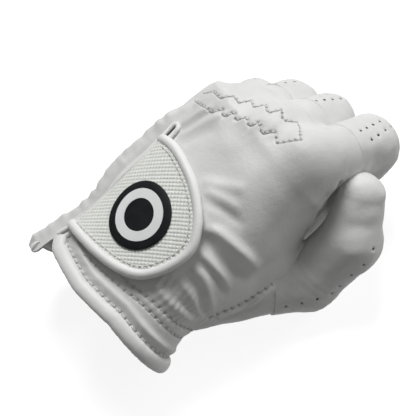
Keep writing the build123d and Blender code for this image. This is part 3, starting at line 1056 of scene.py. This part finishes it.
def place_on_tab(line):
    """A stitch's points on the tab's face, and the directions out of it."""
    low = tab_surface(line[:, 0], line[:, 1], 0.2)
    ups = tab_surface(line[:, 0], line[:, 1], 1.2) - low
    return low, ups


tab_stitches = piece("tab_edge_threads", *threads([tab_edge_holes], 0.24, place_on_tab), thread, "thread")


def disc(inner, outer, height, rows=10):
    """Ring or disc on the tab, with height over its radius."""
    radius, turn = np.meshgrid(
        np.linspace(inner, outer, rows), np.linspace(0, 2 * math.pi, 97)[:-1], indexing="ij")
    x = BADGE_AT[0] + radius * np.cos(turn)
    t = BADGE_AT[1] + radius * np.sin(turn)
    top = tab_surface(x, t, height(radius))
    low = tab_surface(x, t, 0.1)
    n, m = radius.shape
    faces = []
    for i in range(n - 1):
        for j in range(m):
            k = (j + 1) % m
            faces.append((i * m + j, (i + 1) * m + j, (i + 1) * m + k, i * m + k))
    return closed(top.reshape(-1, 3), low.reshape(-1, 3), faces)


def dome(radius):
    """Height of the badge, nearly flat with a rounded edge."""
    return 0.55 + 0.6 * np.sqrt(np.clip(1.0 - (radius / (BADGE_RADIUS + 0.3)) ** 6, 0, 1))


def raised(radius):
    """Height of the ring on the badge."""
    return dome(radius) + 0.12


badge = piece("badge_disc", *disc(0.05, BADGE_RADIUS, dome, 30), rubber, "badge_rubber")
badge_ring = piece("badge_ring", *disc(6.0, 9.6, raised), ink, "badge_print")
tab_pieces = [tab_face, tab_under, tab_hooks, tab_roll, tab_stitches, badge, badge_ring]

# ---- camera, light, floor

VIEW_PITCH, VIEW_SIDE, VIEW_ROLL = math.radians(8), math.radians(30), math.radians(41)
LOOK_AT = vec(52.45, 0.56, -0.08)
CAMERA_DISTANCE = 0.6    # metres
back = vec(math.sin(VIEW_PITCH), -math.sin(VIEW_SIDE) * math.cos(VIEW_PITCH),
           math.cos(VIEW_SIDE) * math.cos(VIEW_PITCH))
level = vec(1, 0, 0) - back * back[0]
level /= np.linalg.norm(level)
across = np.cross(back, level)
right = turn_to_row(level * math.cos(VIEW_ROLL) - across * math.sin(VIEW_ROLL))
up = turn_to_row(level * math.sin(VIEW_ROLL) + across * math.cos(VIEW_ROLL))
back = turn_to_row(back)
camera_data = bpy.data.cameras.new("camera")
camera_data.sensor_width = 36
camera_data.lens = 140.2
camera = bpy.data.objects.new("camera", camera_data)
bpy.context.scene.collection.objects.link(camera)
eye = to_row(LOOK_AT) + back * CAMERA_DISTANCE
camera.matrix_world = Matrix(
    [[right[i], up[i], back[i], eye[i]] for i in range(3)] + [[0, 0, 0, 1]])
bpy.context.scene.camera = camera


def area_light(name, direction, energy, size):
    """Square light, 1.2 m from the glove's middle."""
    data = bpy.data.lights.new(name, "AREA")
    data.energy = energy
    data.size = size
    light = bpy.data.objects.new(name, data)
    direction = Vector(direction).normalized()
    light.location = Vector(to_row(vec(50, 0, 0))) + direction * 1.2
    light.rotation_euler = direction.to_track_quat("Z", "Y").to_euler()
    bpy.context.scene.collection.objects.link(light)


area_light("key", -0.12 * right + 0.95 * up + 0.5 * back, 12.0, 0.5)
area_light("side", 0.9 * right + 0.6 * up + 0.35 * back, 3.2, 0.5)
area_light("fill", 0.5 * right + 0.1 * up + 0.9 * back, 0.5, 1.0)
world = bpy.data.worlds.new("studio")
world.use_nodes = True
world.node_tree.nodes["Background"].inputs["Color"].default_value = (1, 1, 1, 1)
world.node_tree.nodes["Background"].inputs["Strength"].default_value = 0.13
bpy.context.scene.world = world
bpy.context.scene.view_settings.view_transform = "Standard"

floor_mesh = bpy.data.meshes.new("floor")
floor_mesh.from_pydata([(-6, -6, 0), (6, -6, 0), (6, 6, 0), (-6, 6, 0)], [], [(0, 1, 2, 3)])
floor = bpy.data.objects.new("floor", floor_mesh)
bpy.context.scene.collection.objects.link(floor)
floor_material, _, floor_shader = nodes_of("pale_floor")
floor_shader.inputs["Base Color"].default_value = (0.3, 0.3, 0.3, 1)
floor_shader.inputs["Roughness"].default_value = 1.0
floor_shader.inputs["Specular IOR Level"].default_value = 0.0
floor_shader.inputs["Emission Color"].default_value = (1, 1, 1, 1)
floor_shader.inputs["Emission Strength"].default_value = 0.88
floor_mesh.materials.append(floor_material)
floor.visible_diffuse = False

# ---- bodies

KNUCKLE_FORWARD = vec(0.82, 0.18, -0.54)      # along the leather, over the knuckles


def bend_between(obj, direction):
    """Bakes the object's placement into its mesh points."""
    direction = direction / np.linalg.norm(direction)
    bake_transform(obj)


for obj in (hand, thread_objects["knuckle_threads"], knuckle_band):
    bend_between(obj, KNUCKLE_FORWARD)
across_seam = tab_surface(33.0, 2.0) - tab_surface(33.0, -1.0)
bend_between(tab_seam, across_seam)
root_threads = ("cuff_threads", "elastic_threads", "tab_threads", "thumb_threads")
root_pieces = [cuff_roll, slit_roll, loop_patch, wrist_band, palm_band, size_tag]
for obj in root_pieces + [thread_objects[name] for name in root_threads]:
    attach(obj, "root")
for obj in tab_pieces:
    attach(obj, "closure_tab")
for digit, (first, last) in digit_objects.items():
    points = [vec(*q) for q in DIGITS[digit][0]]
    start = "root" if digit == "thumb" else "knuckle_row"
    for obj, i, body_a, body_b, reach in (
            (first, 1, start, digit + "_bend", 11.0), (last, 2, digit + "_bend", digit + "_end", 9.0)):
        into, out = points[i] - points[i - 1], points[i + 1] - points[i]
        along = into / np.linalg.norm(into) + out / np.linalg.norm(out)
        bend_between(obj, along)
    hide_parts(digit + "_middle")
    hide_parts(digit + "_tip")
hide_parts("back_panel", "palm_panel", "thumb_base", "index_base", "middle_base", "ring_base",
            "little_base", "index_middle_fourchette", "middle_ring_fourchette", "ring_little_fourchette")
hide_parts("cuff_binding")
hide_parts("slit_binding")
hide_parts("tab_root")
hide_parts("loop_pad")
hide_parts("wrist_elastic")
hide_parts("palm_elastic")
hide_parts("knuckle_elastic")
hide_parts("size_label")
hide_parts("cuff_stitching")
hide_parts("elastic_stitching")
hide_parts("knuckle_stitching")
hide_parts("tab_stitching")
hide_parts("hook_pad")
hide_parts("tab_backing")
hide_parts("tab_face")
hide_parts("tab_piping")
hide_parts("badge")
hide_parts("badge_inlay")
